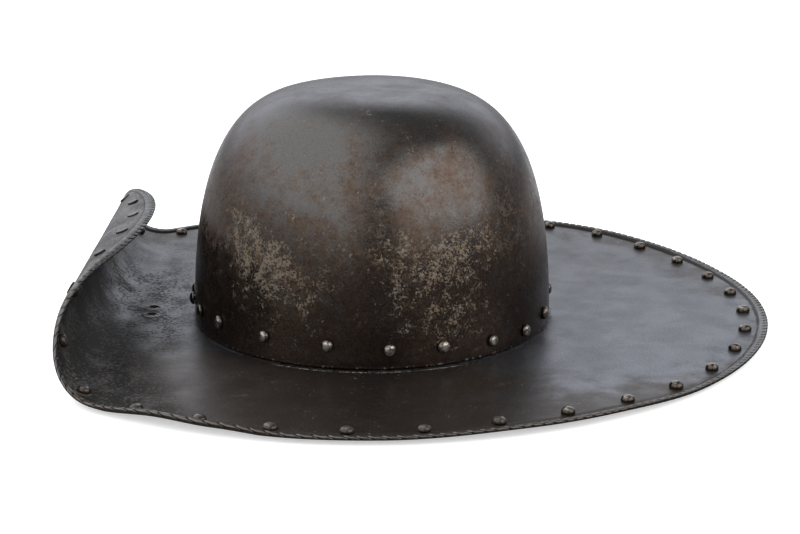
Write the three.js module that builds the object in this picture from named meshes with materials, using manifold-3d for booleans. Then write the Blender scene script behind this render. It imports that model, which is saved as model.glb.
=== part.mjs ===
import * as THREE from 'three';
import { mergeVertices } from 'three/addons/utils/BufferGeometryUtils.js';
import Module from 'manifold-3d';

// An iron war hat shaped like a broad-brimmed hat. An oval crown stands over a collar that is turned up
// from the brim. One side of the brim is turned up and over, its rim is rolled, and rivets run round both.
// Millimetres, +Z up, the turned-up side towards -X. The hat stands on its rolled rim.

const GAP = 0.3; // clearance between separate pieces

// The brim, laid out flat around its own centre
const BRIM_HALF_WIDTH = 215.5; // centre to rim edge along X, before one side is turned up
const BRIM_HALF_DEPTH = 213.5; // centre to rim edge along Y
const BRIM_THICKNESS = 1.5;
const BRIM_UNDERSIDE = 1.3; // height of the plate's underside over the ground
const ROLL_HALF_WIDTH = 3; // rolled rim, a flattened oval that reaches the ground
const ROLL_HALF_HEIGHT = 1.65;
const ROLL_SIDES = 8;
const OUTLINE_STEPS = 36; // straight stretches of the outline outside the turned-up side

// The turned-up side, bent round an axis along Y
const FOLD_START = 128.8; // brim centre to the line where the bend begins
const FOLD_RADIUS = 24.8; // to the middle of the plate
const FOLD_ANGLE = THREE.MathUtils.degToRad(162);
const FOLD_STEP = 6.5; // width of one flat strip of the bend
const TIP_START = THREE.MathUtils.degToRad(166); // outline angle where the strips of the bend end
const TIP_MIDDLE = THREE.MathUtils.degToRad(173); // one more pair of outline points before the tip

// The crown, an oval bowl whose side profile is a superellipse
const CROWN_CENTRE = new THREE.Vector2(-0.5, -8);
const CROWN_HALF_WIDTH = 96.9;
const CROWN_DEPTH_RATIO = 1.085; // depth along Y over width along X
const CROWN_TOP = 128.3; // height over the ground
const CROWN_WALL = 1.6;
const CROWN_SIDE_POWER = 4.13;
const CROWN_RISE_POWER = 2.26;
const CROWN_EDGE_CLEARANCE = 0.8; // lower edge over the brim
const CROWN_RINGS = 13;
const CROWN_SEGMENTS = 48;

// The collar inside the crown's foot
const COLLAR_CLEARANCE = 0.7; // crown's inside to collar's outside
const COLLAR_HEIGHT = 17; // over the plate
const COLLAR_OUTER_BEND = 0.8;
const COLLAR_INNER_BEND = 2.2;

// Rivets
const BRIM_RIVET_COUNT = 36;
const BRIM_RIVET_CIRCLE = 203.4;
const BRIM_RIVET_FIRST = THREE.MathUtils.degToRad(7.3);
const BRIM_RIVET = { head: 3.9, rise: 4.0, shank: 1.5, tail: 3.2, tailRise: 0.8 };
const CROWN_RIVETS = [ // angle in degrees, height over the plate
  { angle: 5, height: 10.5 },
  { angle: 23, height: 11 },
  { angle: 41, height: 11.5 },
  { angle: 59, height: 11.5 },
  { angle: 77, height: 11.5 },
  { angle: 95, height: 11.5 },
  { angle: 114, height: 11.5 },
  { angle: 134, height: 11.5 },
  { angle: 156, height: 11.5 },
  { angle: 177, height: 11.5 },
  { angle: 187, height: 11.5 },
  { angle: 201.5, height: 12 },
  { angle: 216, height: 13 },
  { angle: 236.5, height: 13 },
  { angle: 257.5, height: 12.7 },
  { angle: 276, height: 11.2 },
  { angle: 292.5, height: 10.5 },
  { angle: 310, height: 8.6 },
  { angle: 326, height: 7.2 },
  { angle: 341, height: 9.5 },
];
const CROWN_RIVET = { head: 3.7, rise: 3.2, shank: 1.4, tail: 2.9, tailRise: 1.0 };
const RIVET_SIDES = 8;
const DOME_SHOULDER = { out: 0.72, up: 0.68 }; // where a rivet's dome turns, as shares of head and rise
const DRILL_SIDES = 6;
const DRILL_LENGTH = 14;

// Lacing holes in the brim beside the crown
const LACING_HOLE_RADIUS = 2.5;
const LACING_HOLE_SIDES = 10;
const LACING_HOLES = [
  { x: -121.4, y: -1.8 },
  { x: -121.0, y: -15.8 },
];

const FINISHES = {
  crown: { color: 0x3d3530, roughness: 0.42, metalness: 0.9 },
  brim: { color: 0x6b6c70, roughness: 0.38, metalness: 0.95 },
  crownRivet: { color: 0x7d7974, roughness: 0.3, metalness: 1.0 },
  brimRivet: { color: 0x3f332d, roughness: 0.45, metalness: 0.85 },
};

const PLATE_MIDDLE = BRIM_UNDERSIDE + BRIM_THICKNESS / 2;
const PLATE_TOP = BRIM_UNDERSIDE + BRIM_THICKNESS;
const COLLAR_OUTSIDE = CROWN_HALF_WIDTH - CROWN_WALL - COLLAR_CLEARANCE;
const COLLAR_INSIDE = COLLAR_OUTSIDE - BRIM_THICKNESS;

const wasm = await Module();
wasm.setup();

// Joins the seam of a closed surface and drops the flat triangles at its poles.
function seamless(geometry) {
  geometry.deleteAttribute('normal');
  geometry.deleteAttribute('uv');
  const merged = mergeVertices(geometry, 1e-4);
  const index = merged.index.array;
  const kept = [];
  for (let i = 0; i < index.length; i += 3) {
    const [a, b, c] = [index[i], index[i + 1], index[i + 2]];
    if (a !== b && b !== c && c !== a) {
      kept.push(a, b, c);
    }
  }
  merged.setIndex(kept);
  return merged;
}

function toSolid(geometry) {
  const closed = seamless(geometry);
  return new wasm.Manifold(new wasm.Mesh({
    numProp: 3,
    vertProperties: new Float32Array(closed.attributes.position.array),
    triVerts: new Uint32Array(closed.index.array),
  }));
}

function toGeometry(solid) {
  const mesh = solid.getMesh();
  const geometry = new THREE.BufferGeometry();
  geometry.setAttribute('position', new THREE.BufferAttribute(mesh.vertProperties, 3));
  geometry.setIndex(new THREE.BufferAttribute(mesh.triVerts, 1));
  return geometry;
}

function surfaceOf(points, triangles) {
  const geometry = new THREE.BufferGeometry().setFromPoints(points);
  geometry.setIndex(triangles.flat());
  return geometry;
}

// Takes a point of the flat brim, at a height over the plate's middle, to its place on the finished hat.
function turnUp(x, y, height) {
  const past = Math.max(-x - FOLD_START, 0);
  const angle = Math.min(past / FOLD_RADIUS, FOLD_ANGLE);
  const straight = past - angle * FOLD_RADIUS;
  const bentOut = FOLD_RADIUS * Math.sin(angle) + straight * Math.cos(angle);
  const bentUp = FOLD_RADIUS * (1 - Math.cos(angle)) + straight * Math.sin(angle);
  return new THREE.Vector3(
    Math.max(x, -FOLD_START) - bentOut + height * Math.sin(angle),
    y,
    PLATE_MIDDLE + bentUp + height * Math.cos(angle),
  );
}

// Unit vector out of the plate's upper side at a point of the flat brim.
function upperSide(x, y) {
  return turnUp(x, y, 1).sub(turnUp(x, y, 0));
}

// A point of the crown's oval plan at a given half width.
function ovalPoint(halfWidth, angle) {
  return new THREE.Vector2(
    CROWN_CENTRE.x + halfWidth * Math.cos(angle),
    CROWN_CENTRE.y + halfWidth * CROWN_DEPTH_RATIO * Math.sin(angle),
  );
}

function ovalNormal(angle) {
  return new THREE.Vector3(Math.cos(angle) * CROWN_DEPTH_RATIO, Math.sin(angle), 0).normalize();
}

// Outline of the flat brim along the middle of its rolled rim, anticlockwise from the front end of the fold.
// The points beyond the fold lie in pairs, front and back, so that each strip of the bend is one flat face.
const outlineHalfWidth = BRIM_HALF_WIDTH - ROLL_HALF_WIDTH;
const outlineHalfDepth = BRIM_HALF_DEPTH - ROLL_HALF_WIDTH;
const foldAngle = Math.acos(-FOLD_START / outlineHalfWidth);
const bendReach = -outlineHalfWidth * Math.cos(TIP_START) - FOLD_START;
const bendStrips = Math.round(bendReach / FOLD_STEP);
const pairAngles = [];
for (let i = 1; i <= bendStrips; i++) {
  pairAngles.push(Math.acos(-(FOLD_START + bendReach * i / bendStrips) / outlineHalfWidth));
}
pairAngles.push(TIP_MIDDLE);
const outlineAngles = [];
for (let i = 0; i <= OUTLINE_STEPS; i++) {
  outlineAngles.push(foldAngle * (2 * i / OUTLINE_STEPS - 1));
}
outlineAngles.push(...pairAngles, Math.PI, ...pairAngles.map((angle) => -angle).reverse());
const outline = outlineAngles.map((angle) => {
  const along = Math.cos(angle);
  const across = Math.sin(angle);
  return {
    x: outlineHalfWidth * along,
    y: outlineHalfDepth * across,
    normal: new THREE.Vector2(along / outlineHalfWidth, across / outlineHalfDepth).normalize(),
  };
});

// Triangles over the flat part around an inner ring, then the strips of the turned-up side.
function plateFace(innerRing) {
  const flat = outline.slice(0, OUTLINE_STEPS + 1).map((p) => new THREE.Vector2(p.x, p.y));
  const triangles = THREE.ShapeUtils.triangulateShape(flat, [innerRing]).map((face) => (
    face.map((i) => (i < flat.length ? i : i - flat.length + outline.length))
  ));
  const last = outline.length;
  for (let i = 0; i < pairAngles.length; i++) {
    const back = OUTLINE_STEPS + i;
    const front = (last - i) % last;
    triangles.push([back, back + 1, last - i - 1], [back, last - i - 1, front]);
  }
  const tip = OUTLINE_STEPS + pairAngles.length + 1;
  triangles.push([tip - 1, tip, tip + 1]);
  return triangles;
}

// Two triangles for each step between two closed rings of equal length, given by their first indices.
function band(low, high, count) {
  const triangles = [];
  for (let i = 0; i < count; i++) {
    const next = (i + 1) % count;
    triangles.push([low + i, low + next, high + next], [low + i, high + next, high + i]);
  }
  return triangles;
}

// The sheet of the brim: upper face, collar rings from outside to inside, then the underside.
function brimSheet() {
  const rings = [
    { halfWidth: COLLAR_OUTSIDE + COLLAR_OUTER_BEND, height: PLATE_TOP },
    { halfWidth: COLLAR_OUTSIDE, height: PLATE_TOP + COLLAR_OUTER_BEND },
    { halfWidth: COLLAR_OUTSIDE, height: PLATE_TOP + COLLAR_HEIGHT },
    { halfWidth: COLLAR_INSIDE, height: PLATE_TOP + COLLAR_HEIGHT },
    { halfWidth: COLLAR_INSIDE, height: BRIM_UNDERSIDE + COLLAR_INNER_BEND },
    { halfWidth: COLLAR_INSIDE + COLLAR_INNER_BEND, height: BRIM_UNDERSIDE },
  ];
  const ovals = rings.map((ring) => {
    const oval = [];
    for (let i = 0; i < CROWN_SEGMENTS; i++) {
      oval.push(ovalPoint(ring.halfWidth, 2 * Math.PI * i / CROWN_SEGMENTS));
    }
    return oval;
  });
  const half = BRIM_THICKNESS / 2;
  const points = outline.map((p) => turnUp(p.x, p.y, half));
  const starts = [];
  rings.forEach((ring, k) => {
    starts.push(points.length);
    points.push(...ovals[k].map((p) => new THREE.Vector3(p.x, p.y, ring.height)));
  });
  const under = points.length;
  points.push(...outline.map((p) => turnUp(p.x, p.y, -half)));

  const lastRing = rings.length - 1;
  const triangles = plateFace(ovals[0]);
  for (let k = 0; k < lastRing; k++) {
    triangles.push(...band(starts[k], starts[k + 1], CROWN_SEGMENTS));
  }
  const underIndex = (i) => (i < outline.length ? under + i : starts[lastRing] + i - outline.length);
  triangles.push(...plateFace(ovals[lastRing]).map(([a, b, c]) => [c, b, a].map(underIndex)));
  triangles.push(...band(under, 0, outline.length));
  return surfaceOf(points, triangles);
}

// The rolled rim, an oval bar along the outline with one of its flats on the ground.
function rolledRim() {
  const stretch = 1 / Math.cos(Math.PI / ROLL_SIDES); // flats touch the oval, corners stand outside it
  const middle = ROLL_HALF_HEIGHT - PLATE_MIDDLE;
  const points = [];
  const triangles = [];
  outline.forEach((p, i) => {
    const row = i * ROLL_SIDES;
    const nextRow = (i + 1) % outline.length * ROLL_SIDES;
    for (let k = 0; k < ROLL_SIDES; k++) {
      const angle = 2 * Math.PI * (k + 0.5) / ROLL_SIDES;
      const out = ROLL_HALF_WIDTH * stretch * Math.cos(angle);
      const up = middle + ROLL_HALF_HEIGHT * stretch * Math.sin(angle);
      points.push(turnUp(p.x + p.normal.x * out, p.y + p.normal.y * out, up));
      const next = (k + 1) % ROLL_SIDES;
      triangles.push([row + k, nextRow + k, nextRow + next], [row + k, nextRow + next, row + next]);
    }
  });
  return surfaceOf(points, triangles);
}

// The crown's wall from the inner top down to its lower edge and up the outside.
function crownBowl() {
  const height = CROWN_TOP - PLATE_TOP - CROWN_EDGE_CLEARANCE;
  const profile = [];
  const addSide = (halfWidth, rise, ring) => {
    const turn = Math.PI / 2 * ring / CROWN_RINGS;
    const out = ring === CROWN_RINGS ? 0 : halfWidth * Math.cos(turn) ** (2 / CROWN_SIDE_POWER);
    const up = rise * Math.sin(turn) ** (2 / CROWN_RISE_POWER);
    profile.push(new THREE.Vector2(out, up));
  };
  for (let ring = CROWN_RINGS; ring >= 0; ring--) {
    addSide(CROWN_HALF_WIDTH - CROWN_WALL, height - CROWN_WALL, ring);
  }
  for (let ring = 0; ring <= CROWN_RINGS; ring++) {
    addSide(CROWN_HALF_WIDTH, height, ring);
  }
  const bowl = new THREE.LatheGeometry(profile, CROWN_SEGMENTS, Math.PI / 2);
  bowl.rotateX(Math.PI / 2);
  bowl.scale(1, CROWN_DEPTH_RATIO, 1);
  bowl.translate(CROWN_CENTRE.x, CROWN_CENTRE.y, PLATE_TOP + CROWN_EDGE_CLEARANCE);
  return bowl;
}

// A rivet along Z: low peened tail, shank and domed head.
function rivetBody(size, tailBase, headBase) {
  const profile = [
    [0, tailBase - size.tailRise],
    [size.tail, tailBase],
    [size.shank, tailBase],
    [size.shank, headBase],
    [size.head, headBase],
    [size.head * DOME_SHOULDER.out, headBase + size.rise * DOME_SHOULDER.up],
    [0, headBase + size.rise],
  ].map(([out, along]) => new THREE.Vector2(out, along));
  const body = new THREE.LatheGeometry(profile, RIVET_SIDES);
  body.rotateX(Math.PI / 2);
  return seamless(body);
}

// A straight hole's bar, centred on a point along an axis, with flats that clear the radius.
function drillBar(radius, sides, point, axis) {
  const corner = radius / Math.cos(Math.PI / sides);
  const bar = new THREE.CylinderGeometry(corner, corner, DRILL_LENGTH, sides);
  bar.rotateX(Math.PI / 2);
  bar.applyQuaternion(turnTo(axis));
  bar.translate(point.x, point.y, point.z);
  return toSolid(bar);
}

function turnTo(axis) {
  return new THREE.Quaternion().setFromUnitVectors(new THREE.Vector3(0, 0, 1), axis);
}

function numbered(name, i) {
  return `${name}_${String(i + 1).padStart(2, '0')}`;
}

function piece(name, geometry, finish) {
  const mesh = new THREE.Mesh(geometry, new THREE.MeshStandardMaterial(finish));
  mesh.name = name;
  return mesh;
}

// Where each rivet goes: a point, the way its head faces, and where its tail and head begin along that way.
function brimRivetSeats() {
  const seats = [];
  const half = BRIM_THICKNESS / 2;
  for (let i = 0; i < BRIM_RIVET_COUNT; i++) {
    const angle = BRIM_RIVET_FIRST + 2 * Math.PI * i / BRIM_RIVET_COUNT;
    const x = BRIM_RIVET_CIRCLE * Math.cos(angle);
    const y = BRIM_RIVET_CIRCLE * Math.sin(angle);
    const onBend = x < BRIM_RIVET.head - FOLD_START;
    const hollow = (BRIM_RIVET.head ** 2 / 2 + FOLD_STEP ** 2 / 8) / (FOLD_RADIUS - half);
    const headBase = half + GAP + (onBend ? hollow : 0);
    seats.push({ point: turnUp(x, y, 0), axis: upperSide(x, y), tailBase: -half - GAP, headBase });
  }
  return seats;
}

function crownRivetSeats() {
  const facet = Math.PI * CROWN_HALF_WIDTH * CROWN_DEPTH_RATIO / CROWN_SEGMENTS;
  const hollow = (CROWN_RIVET.tail ** 2 + facet ** 2) / 2 / COLLAR_INSIDE;
  return CROWN_RIVETS.map((row) => {
    const angle = THREE.MathUtils.degToRad(row.angle);
    const place = ovalPoint(CROWN_HALF_WIDTH, angle);
    return {
      point: new THREE.Vector3(place.x, place.y, PLATE_TOP + row.height),
      axis: ovalNormal(angle),
      tailBase: (COLLAR_INSIDE - CROWN_HALF_WIDTH) * CROWN_DEPTH_RATIO - hollow - GAP,
      headBase: GAP,
    };
  });
}

function addRivets(group, name, size, seats, finish) {
  seats.forEach((seat, i) => {
    const rivet = piece(numbered(name, i), rivetBody(size, seat.tailBase, seat.headBase), finish);
    rivet.position.copy(seat.point);
    rivet.quaternion.copy(turnTo(seat.axis));
    group.add(rivet);
  });
}

const brimSeats = brimRivetSeats();
const crownSeats = crownRivetSeats();
const rivetHole = (size, seat) => drillBar(size.shank + GAP, DRILL_SIDES, seat.point, seat.axis);

let brimSolid = toSolid(brimSheet()).add(toSolid(rolledRim()));
let crownSolid = toSolid(crownBowl());
for (const seat of brimSeats) {
  brimSolid = brimSolid.subtract(rivetHole(BRIM_RIVET, seat));
}
for (const seat of crownSeats) {
  brimSolid = brimSolid.subtract(rivetHole(CROWN_RIVET, seat));
  crownSolid = crownSolid.subtract(rivetHole(CROWN_RIVET, seat));
}
for (const hole of LACING_HOLES) {
  const point = new THREE.Vector3(hole.x, hole.y, PLATE_MIDDLE);
  const up = new THREE.Vector3(0, 0, 1);
  brimSolid = brimSolid.subtract(drillBar(LACING_HOLE_RADIUS, LACING_HOLE_SIDES, point, up));
}

const assembly = new THREE.Group();
assembly.add(piece('crown', toGeometry(crownSolid), FINISHES.crown));
assembly.add(piece('brim', toGeometry(brimSolid), FINISHES.brim));
addRivets(assembly, 'crown_rivet', CROWN_RIVET, crownSeats, FINISHES.crownRivet);
addRivets(assembly, 'brim_rivet', BRIM_RIVET, brimSeats, FINISHES.brimRivet);

// The origin is under the middle of the hat's box, on the ground.
const box = new THREE.Box3().setFromObject(assembly, true);
const middle = box.getCenter(new THREE.Vector3());
assembly.position.set(-middle.x, -middle.y, -box.min.z);

const hat = new THREE.Group();
hat.add(assembly);

export default hat;
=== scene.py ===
import bisect
import math
import random

import bpy
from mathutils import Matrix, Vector, noise


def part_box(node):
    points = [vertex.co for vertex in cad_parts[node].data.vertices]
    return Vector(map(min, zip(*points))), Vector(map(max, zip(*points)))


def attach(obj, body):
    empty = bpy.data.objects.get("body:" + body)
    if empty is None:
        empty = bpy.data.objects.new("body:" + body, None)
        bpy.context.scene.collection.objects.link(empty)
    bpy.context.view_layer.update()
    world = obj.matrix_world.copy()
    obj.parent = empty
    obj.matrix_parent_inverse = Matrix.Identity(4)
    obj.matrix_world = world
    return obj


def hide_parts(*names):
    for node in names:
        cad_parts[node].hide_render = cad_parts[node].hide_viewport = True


# An iron war hat shaped like a broad-brimmed hat, resting on its rolled rim with one side of the brim
# turned up. Metres, +Z up, the turned-up side towards -X.
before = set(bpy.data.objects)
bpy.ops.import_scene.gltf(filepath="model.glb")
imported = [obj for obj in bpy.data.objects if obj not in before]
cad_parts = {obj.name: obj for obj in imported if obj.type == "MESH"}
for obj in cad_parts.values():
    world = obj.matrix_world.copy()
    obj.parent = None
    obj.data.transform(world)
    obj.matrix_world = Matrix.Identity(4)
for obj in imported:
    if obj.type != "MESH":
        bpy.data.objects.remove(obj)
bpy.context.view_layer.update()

MM = 0.001

# The brim, laid out flat around its own centre
BRIM_HALF_WIDTH = 215.5 * MM
BRIM_HALF_DEPTH = 213.5 * MM
BRIM_THICKNESS = 1.5 * MM
BRIM_UNDERSIDE = 1.3 * MM
HALF_PLATE = BRIM_THICKNESS / 2
PLATE_MIDDLE = BRIM_UNDERSIDE + HALF_PLATE
PLATE_TOP = BRIM_UNDERSIDE + BRIM_THICKNESS
ROLL_HALF_WIDTH = 3 * MM
ROLL_SECTION = (2.98 * MM, 1.18 * MM)  # half width and half height of the filed roll
ROLL_SLOPE = math.radians(18)  # its outer edge is the higher one
ROLL_MIDDLE = 1.5 * MM
OUTLINE_HALF_WIDTH = BRIM_HALF_WIDTH - ROLL_HALF_WIDTH
OUTLINE_HALF_DEPTH = BRIM_HALF_DEPTH - ROLL_HALF_WIDTH
BRIM_CENTRE_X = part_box("brim")[1].x - BRIM_HALF_WIDTH

# The turned-up side, bent round an axis along Y
FOLD_START = 128.8 * MM
FOLD_RADIUS = 24.8 * MM
FOLD_ANGLE = math.radians(162)
FOLD_FRONT_SHIFT = 3.0 * MM  # how much farther out the bend starts at its front end
FOLD_FRONT_FROM = -128 * MM
FOLD_FRONT_TO = -162 * MM

# The crown, an oval bowl whose side profile is a superellipse
CROWN_CENTRE_X = -0.5 * MM
CROWN_CENTRE_Y = -8 * MM
CROWN_HALF_WIDTH = 96.9 * MM
CROWN_DEPTH_RATIO = 1.085
CROWN_WALL = 1.6 * MM
CROWN_BASE = PLATE_TOP + 0.8 * MM
CROWN_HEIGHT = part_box("crown")[1].z - CROWN_BASE
CROWN_SIDE_POWER = 4.13
CROWN_RISE_POWER = 2.26

# The collar inside the crown's foot
COLLAR_OUTSIDE = 94.6 * MM
COLLAR_INSIDE = COLLAR_OUTSIDE - BRIM_THICKNESS
COLLAR_HEIGHT = 17 * MM
COLLAR_OUTER_BEND = 0.8 * MM
COLLAR_INNER_BEND = 2.2 * MM

# Rivets
BRIM_RIVET_COUNT = 36
BRIM_RIVET_CIRCLE = 203.4 * MM
BRIM_RIVET_FIRST = math.radians(7.3)
BRIM_RIVET = {
    "head": 4.0 * MM, "rise": 3.8 * MM, "shank": 1.5 * MM, "tail": 3.8 * MM, "tail_rise": 1.3 * MM,
    "flatness": 0.95, "edge": 0.12,
}
CROWN_RIVETS = (  # angle in degrees, height over the plate in millimetres
    (5, 10.5), (23, 11), (41, 11.5), (59, 11.5), (77, 11.5), (95, 11.5), (114, 11.5), (134, 11.5),
    (156, 11.5), (177, 11.5), (187, 11.5), (201.5, 12), (216, 13), (236.5, 13), (257.5, 12.7),
    (276, 11.2), (292.5, 10.5), (310, 8.6), (326, 7.2), (341, 9.5),
)
CROWN_RIVET_GRIP = 4.4 * MM  # crown's outside to the collar's inside
CROWN_RIVET = {
    "head": 3.8 * MM, "rise": 3.2 * MM, "shank": 1.4 * MM, "tail": 2.9 * MM, "tail_rise": 1.0 * MM,
    "flatness": 1.15, "edge": 0.3,
}
RIVET_VARIETY = {  # how much hand-set rivets differ
    "Size Spread": 0.12, "Lean": math.radians(4), "Dent Depth": 0.4 * MM, "Dent Scale": 300.0,
}
CROWN_RIVET_SEED = 11
BRIM_RIVET_SEED = 23

LACING_HOLE_RADIUS = 2.5 * MM
LACING_HOLES = ((-121.4 * MM, -1.8 * MM), (-121.0 * MM, -15.8 * MM))
LACING_BURR_RISE = 0.8 * MM
LACING_BURR_CREST = 2.7 * MM  # from a hole's centre
LACING_BURR_FOOT = 5.0 * MM

# How far the brim waves up from the ground, and the roll from the brim, in millimetres by the
# outline's angle in degrees
RIM_LIFTS = (
    (-180, 0.8), (-127, 0.7), (-117, 1.8), (-109, 1.4), (-98, 0.9), (-88, 0.8), (-70, 2.1),
    (-57, 1.9), (-40, 0.0), (-10, 0.5), (18, 0.3), (52, 2.8), (75, 1.6), (100, 0.8), (180, 0.8),
)
ROLL_LIFTS = (
    (-180, 0.8), (-150, 0.8), (-130, 1.1), (-118, 3.4), (-110, 2.8), (-99, 0.9), (-40, 0.9),
    (0, 1.1), (35, 1.5), (90, 1.5), (150, 1.0), (180, 0.8),
)
# The share of its height that a brim rivet has lost to the hammer, by the same angle
RIVET_LOSSES = (
    (-180, 0.0), (-138, 0.0), (-126, 0.42), (-108, 0.42), (-98, 0.25), (-85, 0.16), (-50, 0.1),
    (-30, 0.0), (180, 0.0),
)
# The groove in the plate beside the roll
GROOVE_DEPTH_ABOVE = 1.2 * MM
GROOVE_DEPTH_BELOW = 1.0 * MM
GROOVE_LEAST_DEPTH = 0.2 * MM
GROOVE_FULL = 2.8 * MM  # in from the middle of the roll
GROOVE_END = 5.6 * MM
ROLL_LIFT_TO_FOLLOW = 1.6 * MM  # where the roll is higher than this, the plate rises with it
HAMMER_SIZE = 42 * MM  # width of one hammer mark
BRIM_HAMMER_DEPTH = 0.3 * MM
CROWN_HAMMER_DEPTH = 0.35 * MM
CROWN_HAMMER_FULL = 20 * MM  # height from which the crown's hammer marks are at full depth
# A beaten-flat place at the crown's top, from the brim's centre
CROWN_FLAT_PLACE = Vector((42 * MM, -20 * MM, 122 * MM))
CROWN_FLAT_REACH = 62 * MM
CROWN_FLAT_DEPTH = 1.5 * MM

# Cuts filed across the rolled rim
CUT_PITCH = 4.8 * MM
CUT_PITCH_WIDER = 2.4 * MM  # added where the cuts are widest apart
CUT_WIDEST_ANGLE = math.radians(-112)
CUT_UNEVENNESS = 0.22
CUT_DEPTH = 0.85 * MM
CUT_WIDTH = 0.32  # share of the half pitch
CUT_SLANT = 0.28  # pitches for each radian round the roll
CUT_SEED = 4

# Fineness of the meshes
CROWN_SEGMENTS = 264
CROWN_INNER_RINGS = 60
CROWN_OUTER_RINGS = 120
CROWN_EDGE_STEPS = 6
BRIM_SEGMENTS = 640
BRIM_GROOVE_RINGS = 14
BRIM_GROOVE_SHARE = 0.07  # of the plate's width
BRIM_UPPER_RINGS = 60
BRIM_UNDER_RINGS = 32
COLLAR_STEPS = 4
RIM_SEGMENTS = 4000
RIM_SIDES = 20
RIVET_SEGMENTS = 24
RIVET_DOME_RINGS = 9
HOLE_SEGMENTS = 28
FLOOR_SEGMENTS = 96

# Places on the crown where the dark skin is rubbed through: angle in degrees, height and reach in
# millimetres, strength
CROWN_RUBBED = (
    (-138, 78, 14, 0.44),
    (-136, 68, 17, 0.58),
    (-131, 58, 18, 0.68),
    (-122, 50, 17, 0.72),
    (-111, 42, 17, 0.56),
    (-128, 36, 24, 0.44),
    (-103, 62, 26, 0.36),
    (-86, 76, 22, 0.38),
    (-80, 60, 18, 0.60),
    (-71, 56, 17, 0.68),
    (-62, 57, 17, 0.66),
    (-53, 63, 17, 0.55),
    (-76, 33, 18, 0.52),
    (-67, 28, 18, 0.58),
    (-57, 30, 17, 0.50),
    (40, 60, 30, 0.55),
    (115, 45, 28, 0.60),
    (170, 62, 28, 0.55),
)
# Places on the crown where the skin is browner, in the same columns
CROWN_BROWNED = (
    (-90, 88, 26, 0.55),
    (-92, 40, 40, 0.50),
    (-152, 70, 40, 0.70),
    (-28, 62, 44, 0.65),
    (-62, 92, 34, 0.38),
    (-74, 86, 24, 0.50),
    (-58, 112, 34, 0.55),
    (-88, 114, 32, 0.55),
    (70, 80, 50, 0.50),
    (140, 50, 50, 0.50),
)
# Places on the crown with specks of soot, in the same columns
CROWN_SOOTED = (
    (-54, 123, 27, 0.74),
    (-84, 122, 26, 0.70),
    (-30, 96, 25, 0.64),
    (-90, 86, 15, 0.50),
    (-160, 92, 24, 0.55),
    (60, 100, 34, 0.55),
)
RUSTY_RIVET_ANGLE = math.radians(-132.7)

# Values of the finishes
SPOT_FULL = 0.4  # share of a spot's reach where it starts to fade
SPOT_END = 1.7  # share of its reach where it is gone
GRAIN_SCALE = 900.0
RIVET_GRAIN_SCALE = 1300.0
DULL_SPECULAR = 0.08
CROWN_SPECULAR = 0.3


def tone(red, green, blue):
    return red, green, blue, 1.0


# In each set of rivet tones, foot also colours the painted shade on rivets in the bend and at the front
CROWN_RIVET_TONES = {
    "dome": tone(0.44, 0.415, 0.37), "edge": tone(0.10, 0.084, 0.070), "foot": tone(0.012, 0.009, 0.007),
    "rough": 0.16,
}
BRIM_RIVET_TONES = {
    "dome": tone(0.27, 0.248, 0.23), "edge": tone(0.068, 0.054, 0.044), "foot": tone(0.020, 0.016, 0.013),
    "rough": 0.15,
}


def smooth_step(low, high, value):
    share = min(max((value - low) / (high - low), 0.0), 1.0)
    return share * share * (3.0 - 2.0 * share)


def hammered(x, y, z):
    """Depth share, 0 to 1, of the soft hammer marks at a point."""
    return 0.5 + 0.5 * noise.noise(Vector((x, y, z)) / HAMMER_SIZE)


def crown_dent(point):
    """Depth of the hammer marks and the flat place at a point of the crown."""
    from_centre = point - Vector((BRIM_CENTRE_X, 0.0, 0.0))
    flat = CROWN_FLAT_DEPTH * smooth_step(CROWN_FLAT_REACH, 0.0, (from_centre - CROWN_FLAT_PLACE).length)
    marks = CROWN_HAMMER_DEPTH * hammered(*point) * smooth_step(CROWN_BASE, CROWN_HAMMER_FULL, point.z)
    return marks + flat


def value_around(rows, x, y):
    """The value that rows give by the direction of a point from the brim's centre."""
    angle = math.degrees(math.atan2(y, x))
    last = bisect.bisect_left([row[0] for row in rows[1:-1]], angle) + 1
    start, low = rows[last - 1]
    end, high = rows[last]
    return low + (high - low) * smooth_step(start, end, angle)


def rim_lift(x, y):
    """Rise of the brim over a flat plate at a point of the flat brim."""
    lift = value_around(RIM_LIFTS, x, y) * MM
    share = smooth_step(CROWN_HALF_WIDTH, BRIM_HALF_WIDTH, math.hypot(x, y))
    return lift * share + BRIM_HAMMER_DEPTH * hammered(x, y, 0.0)


def turn_up(x, y, height):
    """Place of a point of the flat brim, at a height over the plate's middle, on the finished hat."""
    start = FOLD_START + FOLD_FRONT_SHIFT * smooth_step(FOLD_FRONT_FROM, FOLD_FRONT_TO, y)
    past = max(-x - start, 0.0)
    angle = min(past / FOLD_RADIUS, FOLD_ANGLE)
    straight = past - angle * FOLD_RADIUS
    bent_out = FOLD_RADIUS * math.sin(angle) + straight * math.cos(angle)
    bent_up = FOLD_RADIUS * (1.0 - math.cos(angle)) + straight * math.sin(angle)
    return Vector((
        BRIM_CENTRE_X + max(x, -start) - bent_out + height * math.sin(angle),
        y,
        PLATE_MIDDLE + rim_lift(x, y) + bent_up + height * math.cos(angle),
    ))


def oval_point(half_width, angle):
    """A point of the crown's oval plan, from the brim's centre."""
    return (
        CROWN_CENTRE_X + half_width * math.cos(angle),
        CROWN_CENTRE_Y + half_width * CROWN_DEPTH_RATIO * math.sin(angle),
    )


def oval_facing(angle):
    return Vector((math.cos(angle) * CROWN_DEPTH_RATIO, math.sin(angle), 0.0)).normalized()


def outline_point(angle):
    """A point of the flat brim's outline along the roll's middle, and the way out of the brim there."""
    along = math.cos(angle)
    across = math.sin(angle)
    out = Vector((along / OUTLINE_HALF_WIDTH, across / OUTLINE_HALF_DEPTH)).normalized()
    return Vector((OUTLINE_HALF_WIDTH * along, OUTLINE_HALF_DEPTH * across)), out


def turns(count):
    return [2.0 * math.pi * i / count for i in range(count)]


# Meshes


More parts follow.
